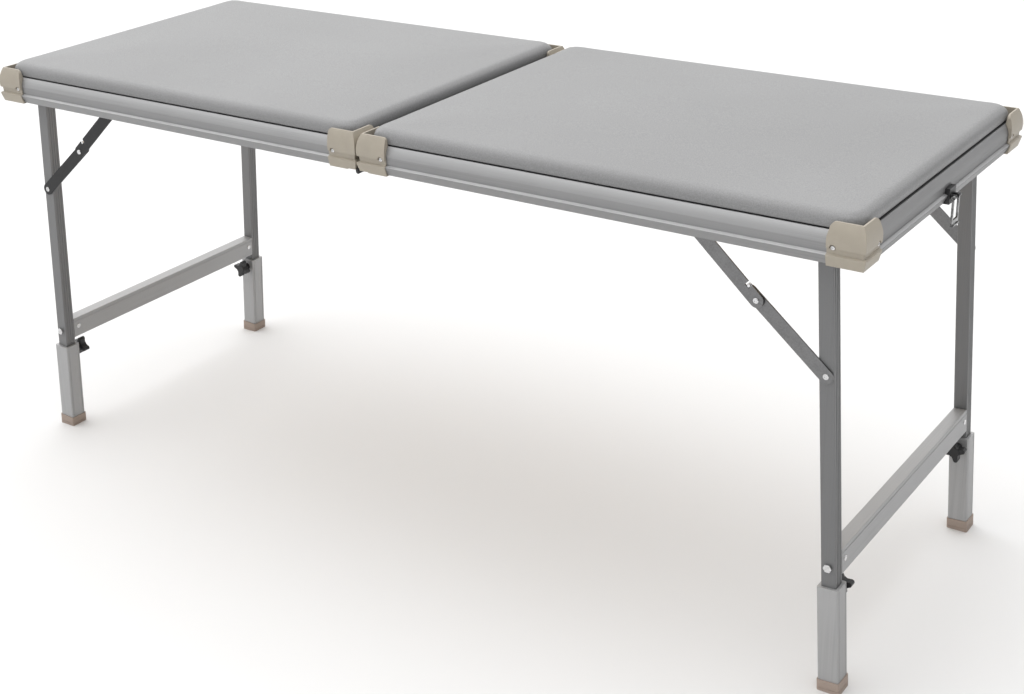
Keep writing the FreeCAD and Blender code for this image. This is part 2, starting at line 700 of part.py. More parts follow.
def upper_link():
    """Link from the rail pivot to the middle joint, notched for the stop stud."""
    top, mid, leg, upper, lower = stay_geometry()
    face_y = UPPER_LINK_Y + LINK_THICKNESS
    bar = slot_shape(upper, 0.0, LINK_HALF_WIDTH, UPPER_LINK_Y, LINK_THICKNESS)
    bar = bar.cut(cylinder(STAY_PIN_R + RUNNING, V(0, UPPER_LINK_Y - OVER, 0), Y_AXIS, 2 * LINK_THICKNESS))
    notch_end = upper - STAY_STOP_REACH + STAY_STOP_R + STAY_STOP_GAP
    notch = box(notch_end - STAY_NOTCH, notch_end, UPPER_LINK_Y - OVER, face_y + OVER,
                STAY_NOTCH_FLOOR, 2 * LINK_HALF_WIDTH)
    rivet = rivet_head(V(upper, face_y - BITE, 0), RIVET_HEAD + BITE)
    return aimed(fused([bar.cut(notch), rivet]), top, mid)


def stay_leg_rivet():
    """Rivet on the leg's outer face that the lower link turns on.

    Its head is flat enough for the upper link to pass over it when the leg is in.
    """
    face_y = LEG_Y + TUBE / 2
    start = V(PIVOT_X, face_y + PRESS, down(STAY_ON_LEG))
    head_y = LOWER_LINK_Y + LINK_THICKNESS + SMALL
    pin = cylinder(STAY_PIN_R, start, Y_AXIS, head_y - start.y)
    return splayed(fused([pin, rivet_head(V(start.x, head_y, start.z), LEG_RIVET_HEAD)]))


def stay_rail_pivot():
    """Post on the long rail's inner face that the upper link turns on."""
    rail_y = HALF_WIDTH - RAIL_DEPTH
    outer = UPPER_LINK_Y + LINK_THICKNESS + WASHER_GAP
    pin = cylinder(STAY_PIN_R, V(STAY_TOP_X, UPPER_LINK_Y - STAY_PLAY, STAY_TOP_Z), Y_AXIS, STAY_PIN)
    post = cylinder(STAY_POST_R, V(STAY_TOP_X, outer, STAY_TOP_Z), Y_AXIS, rail_y - outer - PRESS)
    return fused([pin, post])


def leg_pivot():
    """Shouldered bolt through the leg, with its spacer on the long rail and its nut."""
    rail_y = HALF_WIDTH - RAIL_DEPTH
    leg_out = LEG_Y + TUBE / 2 + WASHER_GAP
    nut_y = LEG_Y - TUBE / 2 - WASHER_GAP - PIVOT_NUT
    spacer = cylinder(PIVOT_SPACER_R, V(PIVOT_X, leg_out, PIVOT_Z), Y_AXIS, rail_y - leg_out - PRESS)
    bolt = cylinder(PIVOT_BOLT_R, V(PIVOT_X, nut_y - OVER, PIVOT_Z), Y_AXIS, TUBE + PIVOT_BOLT_PAST_LEG)
    nut = hex_prism(PIVOT_NUT_R, V(PIVOT_X, nut_y, PIVOT_Z), Y_AXIS, PIVOT_NUT)
    return fused([spacer, bolt, nut])


# ----------------------------------------------------- handle and its bracket

def handle():
    """Moulded grip with flared legs, hanging from its two pivots."""
    y0 = HANDLE_Y - HANDLE_THICK / 2
    top = HANDLE_Z + HANDLE_ABOVE_PIN
    bottom = HANDLE_Z - HANDLE_DROP
    grip = bottom + HANDLE_GRIP
    wide, narrow = HANDLE_HALF_WIDTH, HANDLE_HALF_WIDTH - HANDLE_TAPER
    open_w, open_n = wide - HANDLE_LEG, narrow - HANDLE_LEG
    x = HANDLE_X
    body = face_of([V(x - wide, y0, top), V(x - narrow, y0, bottom), V(x + narrow, y0, bottom),
                    V(x + wide, y0, top)]).extrude(V(0, HANDLE_THICK, 0))
    window = face_of([V(x - open_w, y0, top + OVER), V(x - open_n, y0, grip), V(x + open_n, y0, grip),
                      V(x + open_w, y0, top + OVER)])
    body = body.cut(window.extrude(V(0, HANDLE_THICK, 0)))
    body = fillet_where(body, HANDLE_EDGE, lambda edge: edge.CenterOfMass.z < bottom + SMALL
                        and edge.Length > 2 * HANDLE_LEG)
    groove_reach, half = narrow - HANDLE_GROOVE_END, HANDLE_GROOVE / 2
    for offset in HANDLE_GROOVES:
        y = HANDLE_Y + offset
        body = body.cut(box(x - groove_reach, x + groove_reach, y - half, y + half,
                            bottom - OVER, bottom + HANDLE_GROOVE_DEPTH))
    bore = cylinder(HANDLE_PIN_R + RUNNING, V(x - wide - OVER, HANDLE_Y, HANDLE_Z), X_AXIS,
                    2 * (wide + OVER))
    return body.cut(bore)


def handle_bracket():
    """Steel strip on the back rail with an ear and a pin at each end."""
    reach = HANDLE_HALF_WIDTH - HANDLE_LEG - BRACKET_PLAY
    back = HALF_WIDTH - BRACKET_DEPTH
    pieces = [box(HANDLE_X - reach, HANDLE_X + reach, back, back + BRACKET_THICKNESS,
                  FRAME_Z + BRACKET_LOW, FRAME_Z + BRACKET_HIGH)]
    for sign in (-1, 1):
        inner_x = HANDLE_X + sign * (reach - EAR_THICKNESS)
        x_span = sorted((inner_x, HANDLE_X + sign * reach))
        pieces.append(box(x_span[0], x_span[1], back, HANDLE_Y + EAR_PAST_PIN,
                          HANDLE_Z - EAR_BELOW_PIN, HANDLE_Z + EAR_ABOVE_PIN))
        pieces.append(cylinder(HANDLE_PIN_R, V(inner_x, HANDLE_Y, HANDLE_Z), X_AXIS * sign, HANDLE_LEG))
    rail = profile_along_x(rail_outline(), -HALF_LENGTH, -SEAM_X)
    return fused(pieces).cut(rail)


# ---------------------------------------------------------------------- latch

def latch_block(heights, proud):
    """Base plate whose back follows the right end rail."""
    block = box(HALF_LENGTH - LATCH_BASE_DEPTH, HALF_LENGTH + proud,
                -LATCH_BASE_HALF_WIDTH, LATCH_BASE_HALF_WIDTH, FRAME_Z + heights[0], FRAME_Z + heights[1])
    return block.cut(profile_along_y(rail_outline(), HALF_LENGTH + SMALL, -1, -CAP_WING, CAP_WING))


def on_both_sides(span):
    """A span of Y and its mirror image, each from low to high."""
    low, high = span
    return (low, high), (-high, -low)


def latch_base_right():
    """Plate with two eyes that the draw loop hangs in."""
    pieces = [latch_block(LOOP_BASE_SPAN, LOOP_BASE_PROUD)]
    for y0, y1 in on_both_sides(LOOP_EYE_SPAN):
        pieces.append(box(HALF_LENGTH + SMALL, LATCH_X, y0, y1, LOOP_Z - LATCH_EYE_R, LOOP_Z + LATCH_EYE_R))
        pieces.append(cylinder(LATCH_EYE_R, V(LATCH_X, y0, LOOP_Z), Y_AXIS, y1 - y0))
    pin_hole = cylinder(LATCH_PIN_R + RUNNING, V(LATCH_X, -LOOP_HALF_WIDTH, LOOP_Z), Y_AXIS,
                        2 * LOOP_HALF_WIDTH)
    return fused(pieces).cut(pin_hole)


def latch_loop():
    """Hanging draw loop: a pivot bar, two side bars and a broad turned-out foot."""
    half = LOOP_HALF_WIDTH
    low = LOOP_Z - LOOP_DROP
    x0, x1 = LATCH_X - LOOP_THICKNESS / 2, LATCH_X + LOOP_THICKNESS / 2
    pieces = [cylinder(LATCH_PIN_R, V(LATCH_X, -half, LOOP_Z), Y_AXIS, 2 * half),
              box(x0, x1, -half, half, low, low + LOOP_FOOT),
              box(x0, x1 + LOOP_LIP, -half, half, low, low + LOOP_LIP)]
    for y0, y1 in on_both_sides((half - LOOP_BAR, half)):
        pieces.append(box(x0, x1, y0, y1, low, LOOP_Z))
        pieces.append(cylinder(LATCH_EYE_R, V(LATCH_X, y0, LOOP_Z), Y_AXIS, LOOP_BAR))
    return fused(pieces)


def latch_base_left():
    """Plate with the pin that the closing lever turns on."""
    pieces = [latch_block(LEVER_BASE_SPAN, LEVER_BASE_PROUD)]
    for y0, y1 in on_both_sides(LEVER_EAR_SPAN):
        pieces.append(box(HALF_LENGTH + SMALL, LATCH_X + LEVER_EAR_PAST_PIN, y0, y1,
                          LEVER_Z - LEVER_EAR_HALF, LEVER_Z + LEVER_EAR_HALF))
    reach = LEVER_EAR_SPAN[1]
    pieces.append(cylinder(LATCH_PIN_R, V(LATCH_X, -reach, LEVER_Z), Y_AXIS, 2 * reach))
    return mirror_x(fused(pieces))


def latch_lever():
    """Cover plate with ribs, two cheeks on the pivot and the bar that takes the loop."""
    front = LATCH_X + LEVER_FRONT
    half = LEVER_HALF_WIDTH
    face = front + LEVER_PLATE
    pieces = [box(front, face, -half, half, LEVER_Z + LEVER_PLATE_LOW, LEVER_TOP_Z),
              box(front, front + LEVER_LIP, -half, half, LEVER_TOP_Z - LEVER_PLATE, LEVER_TOP_Z)]
    for y in LEVER_RIBS:
        pieces.append(box(face - BITE, face + LEVER_RIB_PROUD, y - LEVER_RIB_HALF, y + LEVER_RIB_HALF,
                          LEVER_Z + LEVER_RIB_LOW, LEVER_TOP_Z - LEVER_RIB_HIGH))
    for y0, y1 in on_both_sides(LEVER_CHEEK_SPAN):
        pieces.append(box(LATCH_X - LEVER_CHEEK_R, front + BITE, y0, y1, LEVER_Z, LEVER_Z + LEVER_CHEEK_HIGH))
        pieces.append(cylinder(LEVER_CHEEK_R, V(LATCH_X, y0, LEVER_Z), Y_AXIS, y1 - y0))
    reach = sum(LEVER_CHEEK_SPAN) / 2
    pieces.append(cylinder(LEVER_BAR_R, V(LATCH_X, -reach, LEVER_Z + LEVER_BAR_HIGH), Y_AXIS, 2 * reach))
    bore = cylinder(LATCH_PIN_R + RUNNING, V(LATCH_X, -half, LEVER_Z), Y_AXIS, 2 * half)
    return mirror_x(fused(pieces).cut(bore))


# ------------------------------------------------------------------ assembly

def both_ends(shape):
    return [shape, mirror_y(shape)]


def frame_fasteners():
    """Leg pivots, stay posts and cap screws of the right half."""
    quarter = [leg_pivot(), stay_rail_pivot()]
    for corner_x, along, at_seam in ((SEAM_X, 1, True), (HALF_LENGTH, -1, False)):
        quarter += [cap_screw(place) for place in cap_screw_places(corner_x, along, at_seam)]
    return Part.makeCompound([solid for shape in quarter for solid in both_ends(shape)])


def leg_fasteners():
    quarter = [leg_bolt(), stay_leg_rivet(), crossbar_rivet(-1), crossbar_rivet(1)]
    return Part.makeCompound([solid for shape in quarter for solid in both_ends(shape)])


def main():
    os.makedirs("parts", exist_ok=True)
    quarter_parts = {
        "long_rail": long_rail(),
        "corner_cap": corner_cap(HALF_LENGTH, -1, False),
        "centre_cap": corner_cap(SEAM_X, 1, True),
        "leg_tube": leg_tube(),
        "leg_sleeve": sleeve(),
        "foot": foot(),
        "star_knob": star_knob(),
        "stay_lower_link": lower_link(),
        "stay_upper_link": upper_link(),
    }
    for name, shape in quarter_parts.items():
        for side in ("left", "right"):
            for end in ("front", "back"):
                export(f"{name}_{side}_{end}", placed(shape, side, end))
    half_parts = {
        "end_rail": cross_rail(HALF_LENGTH, -1),
        "centre_rail": cross_rail(SEAM_X, 1),
        "board": board(),
        "cushion": cushion(),
        "crossbar": crossbar(),
        "frame_fasteners": frame_fasteners(),
        "leg_fasteners": leg_fasteners(),
    }
    for name, shape in half_parts.items():
        for side in ("left", "right"):
            export(f"{name}_{side}", placed(shape, side, "back"))
    for side in ("left", "right"):
        export(f"hinge_leaves_{side}", Part.makeCompound(both_ends(hinge_leaf(side))))
    export("hinge_pins", Part.makeCompound(both_ends(hinge_rod(HINGE_PIN_R))))
    export("handle", handle())
    export("handle_bracket", handle_bracket())
    export("latch_base_right", latch_base_right())
    export("latch_loop", latch_loop())
    export("latch_base_left", latch_base_left())
    export("latch_lever", latch_lever())


main()
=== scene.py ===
import math

import bmesh
import bpy
import numpy as np
from mathutils import Matrix, Vector


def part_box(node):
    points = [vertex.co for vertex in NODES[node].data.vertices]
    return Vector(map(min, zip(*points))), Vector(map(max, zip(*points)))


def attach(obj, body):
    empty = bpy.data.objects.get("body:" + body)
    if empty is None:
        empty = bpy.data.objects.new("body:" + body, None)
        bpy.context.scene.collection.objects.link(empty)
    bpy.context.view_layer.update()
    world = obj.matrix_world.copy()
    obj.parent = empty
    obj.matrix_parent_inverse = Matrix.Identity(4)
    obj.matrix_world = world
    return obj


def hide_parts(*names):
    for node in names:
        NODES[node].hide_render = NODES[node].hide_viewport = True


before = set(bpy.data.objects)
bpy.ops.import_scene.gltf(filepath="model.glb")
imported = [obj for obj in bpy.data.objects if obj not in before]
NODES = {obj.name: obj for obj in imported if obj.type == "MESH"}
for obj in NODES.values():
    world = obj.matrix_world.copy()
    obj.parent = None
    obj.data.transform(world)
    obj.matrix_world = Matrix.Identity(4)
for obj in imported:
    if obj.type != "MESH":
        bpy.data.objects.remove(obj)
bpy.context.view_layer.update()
scene = bpy.context.scene
SIDES = {"left": -1, "right": 1}


# ---------------------------------------------------------------- camera

CAMERA_AT = (1.7256, -2.4263, 1.6394)
CAMERA_YAW, CAMERA_PITCH, CAMERA_ROLL = 0.6276, 0.3814, -0.0343
CAMERA_LENS = 57.25
CAMERA_SHIFT = (0.0490, -0.0753)
CAMERA_SENSOR = 36.0
CAMERA_CLIP = (0.05, 100.0)


def make_camera():
    """The photograph's view: from the front right, above the couch, with a shifted lens."""
    yaw, pitch, roll = CAMERA_YAW, CAMERA_PITCH, CAMERA_ROLL
    ahead = Vector((-math.sin(yaw), math.cos(yaw), 0.0))
    level = Vector((math.cos(yaw), math.sin(yaw), 0.0))
    forward = ahead * math.cos(pitch) - Vector((0.0, 0.0, math.sin(pitch)))
    upright = level.cross(forward)
    right = level * math.cos(roll) + upright * math.sin(roll)
    up = upright * math.cos(roll) - level * math.sin(roll)
    data = bpy.data.cameras.new("camera")
    data.sensor_width = CAMERA_SENSOR
    data.lens = CAMERA_LENS
    data.shift_x, data.shift_y = CAMERA_SHIFT
    data.clip_start, data.clip_end = CAMERA_CLIP
    camera = bpy.data.objects.new("camera", data)
    scene.collection.objects.link(camera)
    turn = Matrix((right, up, -forward)).transposed().to_4x4()
    camera.matrix_world = Matrix.Translation(CAMERA_AT) @ turn
    scene.camera = camera


make_camera()


# ------------------------------------------------------------- materials

MIX_FACTOR, MIX_FIRST, MIX_SECOND, MIX_RESULT = 0, 6, 7, 2
BEVEL_SAMPLES = 4


class Shader:
    """A Principled material and the nodes that feed its colour, roughness and bump."""

    def __init__(self, name, roughness=0.5, metallic=0.0, **sockets):
        self.material = bpy.data.materials.new(name)
        self.material.use_nodes = True
        self.tree = self.material.node_tree
        self.bsdf = self.tree.nodes["Principled BSDF"]
        self.bsdf.inputs["Roughness"].default_value = roughness
        self.bsdf.inputs["Metallic"].default_value = metallic
        for socket, value in sockets.items():
            self.bsdf.inputs[socket.replace("_", " ")].default_value = value
        self.object_space = self.node("ShaderNodeTexCoord").outputs["Object"]

    def node(self, kind, inputs=None, **settings):
        made = self.tree.nodes.new(kind)
        for key, value in settings.items():
            setattr(made, key, value)
        for key, value in (inputs or {}).items():
            if isinstance(value, bpy.types.NodeSocket):
                self.tree.links.new(value, made.inputs[key])
            else:
                made.inputs[key].default_value = value
        return made

    def stretched(self, scale, rotation=(0.0, 0.0, 0.0)):
        made = self.node("ShaderNodeMapping", {"Vector": self.object_space})
        made.inputs["Scale"].default_value = scale
        made.inputs["Rotation"].default_value = rotation
        return made.outputs["Vector"]

    def noise(self, scale, detail=3.0, roughness=0.5, space=None):
        inputs = {"Vector": space or self.object_space, "Scale": scale, "Detail": detail,
                  "Roughness": roughness}
        return self.node("ShaderNodeTexNoise", inputs).outputs["Fac"]

    def cells(self, scale):
        inputs = {"Vector": self.object_space, "Scale": scale}
        return self.node("ShaderNodeTexVoronoi", inputs).outputs["Distance"]

    def ramp(self, factor, stops):
        made = self.node("ShaderNodeValToRGB", {"Fac": factor})
        elements = made.color_ramp.elements
        while len(elements) < len(stops):
            elements.new(0.5)
        for element, (position, colour) in zip(elements, stops):
            element.position = position
            element.color = (*colour, 1.0)
        return made.outputs["Color"]

    def spread(self, factor, low, high, start=0.3, end=0.7):
        inputs = {"Value": factor, "From Min": start, "From Max": end, "To Min": low, "To Max": high}
        return self.node("ShaderNodeMapRange", inputs).outputs["Result"]

    def math(self, operation, first, second):
        made = self.node("ShaderNodeMath", operation=operation)
        for socket, value in zip(made.inputs, (first, second)):
            if isinstance(value, bpy.types.NodeSocket):
                self.tree.links.new(value, socket)
            else:
                socket.default_value = value
        return made.outputs[0]

    def add(self, first, second, weight=1.0):
        return self.math("ADD", first, self.math("MULTIPLY", second, weight))

    def mixed(self, first, second, **settings):
        """A colour mix node with its two colours linked."""
        made = self.node("ShaderNodeMix", data_type="RGBA", **settings)
        self.tree.links.new(first, made.inputs[MIX_FIRST])
        self.tree.links.new(second, made.inputs[MIX_SECOND])
        return made

    def blend(self, factor, first, second):
        """Colour that passes from first to second as factor goes from 0 to 1."""
        made = self.mixed(first, second)
        self.tree.links.new(factor, made.inputs[MIX_FACTOR])
        return made.outputs[MIX_RESULT]

    def times(self, first, second):
        """One colour multiplied by another."""
        made = self.mixed(first, second, blend_type="MULTIPLY")
        made.inputs[MIX_FACTOR].default_value = 1.0
        return made.outputs[MIX_RESULT]

    def place(self, axis):
        """The coordinate along one of the model's axes, in metres."""
        return self.node("ShaderNodeSeparateXYZ", {"Vector": self.object_space}).outputs[axis]

    def beyond(self, axis, distance):
        """1 where the surface lies further than distance from the middle plane of that axis."""
        away = self.math("ABSOLUTE", self.place(axis), 0.0)
        return self.math("GREATER_THAN", away, distance)

    def feed(self, socket, source):
        self.tree.links.new(source, self.bsdf.inputs[socket])

    def bump(self, height, strength, distance, edge=0.0):
        """Surface relief; edge is the radius to which sharp edges are softened."""
        made = self.node("ShaderNodeBump", {"Height": height, "Strength": strength, "Distance": distance})
        if edge:
            soft = self.node("ShaderNodeBevel", {"Radius": edge}, samples=BEVEL_SAMPLES)
            self.tree.links.new(soft.outputs["Normal"], made.inputs["Normal"])
        self.feed("Normal", made.outputs["Normal"])


def tint(colour, factor):
    return tuple(channel * factor for channel in colour)


METAL_EDGE = 0.0005
PLASTIC_EDGE = 0.0007
LINE_SCALE, STREAK_SCALE, LENGTHWISE_SCALE = 900.0, 140.0, 2.5
CLOUD_SCALE = 9.0
LINE_DEPTH = 0.00005


def aluminium(name, colour, along, roughness=0.46, metallic=0.4, tilt=0.0, painted_bands=None):
    """Satin anodised extrusion: fine die lines run along the length, with a faint cloudiness.

    painted_bands are (height, brightness) pairs up the profile: a painted highlight on the ridge and
    upper shoulder, painted shade on the flats.
    """
    shader = Shader(name, roughness=roughness, metallic=metallic)
    fine, broad = [LINE_SCALE] * 3, [STREAK_SCALE] * 3
    for scale in (fine, broad):
        scale["xyz".index(along)] = LENGTHWISE_SCALE
    lines = shader.noise(1.0, 2.0, 0.6, shader.stretched(tuple(fine), (0.0, tilt, 0.0)))
    streaks = shader.noise(1.0, 1.0, 0.5, shader.stretched(tuple(broad), (0.0, tilt, 0.0)))
    cloud = shader.noise(CLOUD_SCALE)
    mixed = shader.add(shader.add(lines, streaks, 0.5), cloud, 0.5)
    base = shader.ramp(mixed, [(0.70, tint(colour, 0.92)), (1.0, tint(colour, 1.06))])
    # Painted light and shade by height: the ridge is painted bright and the flats duller.
    if painted_bands:
        foot, top = painted_bands[0][0], painted_bands[-1][0]
        height = shader.spread(shader.place("Z"), 0.0, 1.0, foot, top)
        stops = [((at - foot) / (top - foot), (level,) * 3) for at, level in painted_bands]
        base = shader.times(base, shader.ramp(height, stops))
    shader.feed("Base Color", base)
    shader.feed("Roughness", shader.spread(mixed, roughness - 0.05, roughness + 0.07, 0.75, 1.25))
    shader.bump(lines, 0.22, LINE_DEPTH, METAL_EDGE)
    return shader.material


VINYL_COLOUR = (0.215, 0.215, 0.217)
PEBBLE_SCALE, PORE_SCALE, SPECKLE_SCALE, DRIFT_SCALE = 640.0, 1300.0, 520.0, 2.1
PEBBLE_DEPTH = 0.0003


def vinyl():
    """Upholstery vinyl: fine pebbled grain, faint pearly speckle and slow tonal drift."""
    shader = Shader("vinyl_grey", roughness=0.44, Sheen_Weight=0.08, Sheen_Roughness=0.4)
    grain = shader.cells(PEBBLE_SCALE)
    fine = shader.noise(PORE_SCALE, 3.0, 0.6)
    speckle = shader.noise(SPECKLE_SCALE, 2.0, 0.7)
    drift = shader.noise(DRIFT_SCALE, 2.0)
    tone = shader.add(shader.add(speckle, fine, 0.5), drift, 0.35)
    stops = [(0.60, tint(VINYL_COLOUR, 0.86)), (0.92, VINYL_COLOUR), (1.0, tint(VINYL_COLOUR, 1.14))]
    shader.feed("Base Color", shader.ramp(tone, stops))
    shader.feed("Roughness", shader.spread(tone, 0.50, 0.38, 0.65, 1.2))
    shader.bump(shader.add(grain, fine, 0.5), 0.30, PEBBLE_DEPTH)
    return shader.material


SKIN_SCALE, STAIN_SCALE = 1400.0, 38.0
SKIN_DEPTH = 0.0001


def plastic(name, colour, roughness, marks=0.06):
    """Moulded plastic with a spark-eroded skin and slight unevenness of colour."""
    shader = Shader(name, roughness=roughness)
    skin = shader.noise(SKIN_SCALE, 4.0, 0.6)
    cloud = shader.noise(STAIN_SCALE)
    tone = shader.add(cloud, skin, 0.35)
    stops = [(0.45, tint(colour, 1.0 - marks)), (0.95, tint(colour, 1.0 + marks))]
    shader.feed("Base Color", shader.ramp(tone, stops))
    shader.feed("Roughness", shader.spread(tone, roughness - 0.05, roughness + 0.08, 0.5, 0.9))
    shader.bump(skin, 0.4, SKIN_DEPTH, PLASTIC_EDGE)
    return shader.material


SPANGLE_SCALE, HAZE_SCALE = 420.0, 45.0
PLATING_DEPTH = 0.00008
STEEL_ROUGHNESS, RIVET_ROUGHNESS = 0.38, 0.2
RIVET_LOW, RIVET_HIGH = (0.56, 0.56, 0.57), (0.78, 0.78, 0.79)


def plated_steel(name, colour, proud_of=None):
    """Zinc-plated strip with small spangles; what stands proud of its outer face is bright."""
    shader = Shader(name, roughness=STEEL_ROUGHNESS, metallic=0.9)
    spangle = shader.noise(SPANGLE_SCALE, 2.0, 0.7)
    cloud = shader.noise(HAZE_SCALE)
    tone = shader.add(spangle, cloud, 0.6)
    strip = shader.ramp(tone, [(0.5, tint(colour, 0.80)), (1.0, tint(colour, 1.18))])
    rough = shader.spread(tone, STEEL_ROUGHNESS - 0.08, STEEL_ROUGHNESS + 0.1, 0.6, 1.0)
    if proud_of is not None:
        head = shader.beyond("Y", proud_of)
        bright = shader.ramp(tone, [(0.5, RIVET_LOW), (1.0, RIVET_HIGH)])
        strip = shader.blend(head, strip, bright)
        smoother = shader.math("MULTIPLY", head, STEEL_ROUGHNESS - RIVET_ROUGHNESS)
        rough = shader.math("SUBTRACT", rough, smoother)
    shader.feed("Base Color", strip)
    shader.feed("Roughness", rough)
    shader.bump(spangle, 0.2, PLATING_DEPTH, METAL_EDGE)
    return shader.material


WEAR_SCALE = 160.0


def chrome(name, low, high):
    """Bright plating over pressed steel, with hairline wear."""
    shader = Shader(name, roughness=0.16, metallic=1.0)
    wear = shader.noise(WEAR_SCALE, 5.0, 0.65)
    shader.feed("Base Color", shader.ramp(wear, [(0.35, (low,) * 3), (0.65, (high,) * 3)]))
    shader.feed("Roughness", shader.spread(wear, 0.12, 0.28))
    shader.bump(wear, 0.1, PLATING_DEPTH, METAL_EDGE)
    return shader.material


GRAIN_STRETCH = (3.0, 60.0, 60.0)
PORE_STRETCH = (25.0, 900.0, 900.0)
GAP_SHADE_SCALE = 900.0
WOOD_DEPTH = 0.0002
WOOD_STOPS = [(0.45, (0.47, 0.33, 0.20)), (0.75, (0.62, 0.47, 0.31)), (0.95, (0.70, 0.55, 0.38))]
# Near-black cloth-like tone for the board's edge and top: painted shade in the gap under the cushion.
GAP_SHADE_STOPS = [(0.1, (0.035, 0.035, 0.036)), (0.6, (0.055, 0.055, 0.056))]


def plywood(gap_shade_above):
    """Birch plywood, long-grained below; its edge and top are painted near-black with a cloth-like grain,
    painted shade for the gap between cushion and rail.
    """
    shader = Shader("plywood_birch", roughness=0.62)
    grain = shader.noise(1.0, 5.0, 0.6, shader.stretched(GRAIN_STRETCH))
    pores = shader.noise(1.0, 2.0, 0.5, shader.stretched(PORE_STRETCH))
    tone = shader.add(grain, pores, 0.35)
    wood = shader.ramp(tone, WOOD_STOPS)
    # cloth here is the painted shade that fills the gap under the cushion; only the underside shows wood.
    cloth = shader.ramp(shader.cells(GAP_SHADE_SCALE), GAP_SHADE_STOPS)
    gap_shaded = shader.math("GREATER_THAN", shader.place("Z"), gap_shade_above)
    shader.feed("Base Color", shader.blend(gap_shaded, wood, cloth))
    shader.bump(tone, 0.3, WOOD_DEPTH)
    return shader.material


RAIL_COLOUR = (0.350, 0.350, 0.353)
# The end and centre rails are painted darker than the long ones: painted shade, as the light falls from
# the left.
END_RAIL_SHADED_COLOUR = (0.265, 0.265, 0.268)
# Heights above the foot of the rail's profile, and how bright the surface is painted there: painted
# highlight on the ridge and upper shoulder, painted shade on the flats.
RAIL_PAINTED_BANDS = ((0.0, 0.78), (0.0152, 0.78), (0.0157, 1.5), (0.0178, 1.5), (0.0183, 0.74), (0.0325, 0.76),
              (0.0335, 0.92), (0.0510, 1.12))
# Left and right legs are one metal, painted slightly different greys: painted shade.
LEG_SHADED_COLOUR = {"left": (0.190, 0.190, 0.192), "right": (0.175, 0.176, 0.178)}
SLEEVE_COLOUR = (0.38, 0.38, 0.382)
CROSSBAR_COLOUR = (0.36, 0.36, 0.363)
# The left stays are painted nearly black and the right ones grey, though they are one steel: painted
# shade and dark reflection.
STAY_SHADED_COLOUR = {"left": (0.045, 0.045, 0.046), "right": (0.19, 0.19, 0.192)}
SPLAY = math.radians(3.6)
LINK_THICKNESS = 0.0025
FACE_MARGIN = 0.0001
BOARD_BARE = 0.0005


def link_face(link):
    """Distance of the outer face of a stay's strip from the couch's middle plane."""
    inner_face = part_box(f"stay_{link}_link_right_back")[0].y
    return inner_face + LINK_THICKNESS + FACE_MARGIN


RAIL_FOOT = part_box("long_rail_right_front")[0].z
PAINTED_BANDS = [(RAIL_FOOT + height, level) for height, level in RAIL_PAINTED_BANDS]
MATERIALS = {
    "rail_x": aluminium("aluminium_rail_x", RAIL_COLOUR, "x", painted_bands=PAINTED_BANDS),
    "rail_y": aluminium("aluminium_rail_y", END_RAIL_SHADED_COLOUR, "y", painted_bands=PAINTED_BANDS),
    "crossbar": aluminium("aluminium_crossbar", CROSSBAR_COLOUR, "y"),
    "vinyl": vinyl(),
    "cap": plastic("plastic_cap_beige", (0.380, 0.340, 0.278), 0.46),
    "foot": plastic("plastic_foot_beige", (0.36, 0.285, 0.24), 0.6),
    "black": plastic("plastic_black", (0.012, 0.012, 0.013), 0.34, marks=0.2),
    "dark_steel": plated_steel("steel_dark", (0.055, 0.055, 0.057)),
    "chrome": chrome("chrome_bright", 0.52, 0.74),
    "dark_chrome": chrome("chrome_dark", 0.07, 0.40),
    "plywood": plywood(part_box("board_right")[0].z + BOARD_BARE),
}
for side, sign in SIDES.items():
    for part, colour in (("leg", LEG_SHADED_COLOUR[side]), ("sleeve", SLEEVE_COLOUR)):
        name = f"{part}_{side}"
        MATERIALS[name] = aluminium("aluminium_" + name, colour, "z", tilt=sign * SPLAY)
    for link in ("upper", "lower"):
        name = f"stay_{link}_{side}"
        MATERIALS[name] = plated_steel("steel_" + name, STAY_SHADED_COLOUR[side], proud_of=link_face(link))

# The first row whose text starts a node's name gives that node's finish.
FINISHES = (("long_rail", "rail_x"), ("end_rail", "rail_y"), ("centre_rail", "rail_y"),
            ("crossbar", "crossbar"), ("leg_tube", "leg_{side}"), ("leg_sleeve", "sleeve_{side}"),
            ("corner_cap", "cap"), ("centre_cap", "cap"), ("foot", "foot"),
            ("star_knob", "black"), ("handle_bracket", "chrome"), ("handle", "black"),
            ("board", "plywood"), ("cushion", "vinyl"), ("hinge", "dark_steel"),
            ("stay_upper", "stay_upper_{side}"), ("stay_lower", "stay_lower_{side}"),
            ("latch_base", "dark_steel"), ("latch", "dark_chrome"), ("", "chrome"))


def finish_for(name):
    side = "left" if "left" in name else "right"
    finish = next(finish for start, finish in FINISHES if name.startswith(start))
    return finish.format(side=side)


def paint(thing, finish):
    thing.data.materials.clear()
    thing.data.materials.append(MATERIALS[finish])


for name, node in NODES.items():
    paint(node, finish_for(name))


# -------------------------------------------------------------- cushions

PAD_INSET = 0.0008
PAD_CORNER = 0.030
PAD_WALL = 0.009
PAD_SHOULDER = (0.018, 0.0175)
PAD_STEPS = 8
PAD_VOXEL = 0.006
PAD_SWELL = (0.0012, 0.0012, 0.0052)
CORNER_TIGHTENS = 0.6
SMOOTH_FACTOR, SMOOTH_ROUNDS = 0.5, 5
CLOTH = {"use_pressure": True, "uniform_pressure_force": 4.0, "quality": 5, "mass": 0.3,
         "tension_stiffness": 15.0, "compression_stiffness": 15.0, "bending_stiffness": 5.0}
CLOTH_FRAMES = (1, 20)
SWELL_ROUNDS = 14


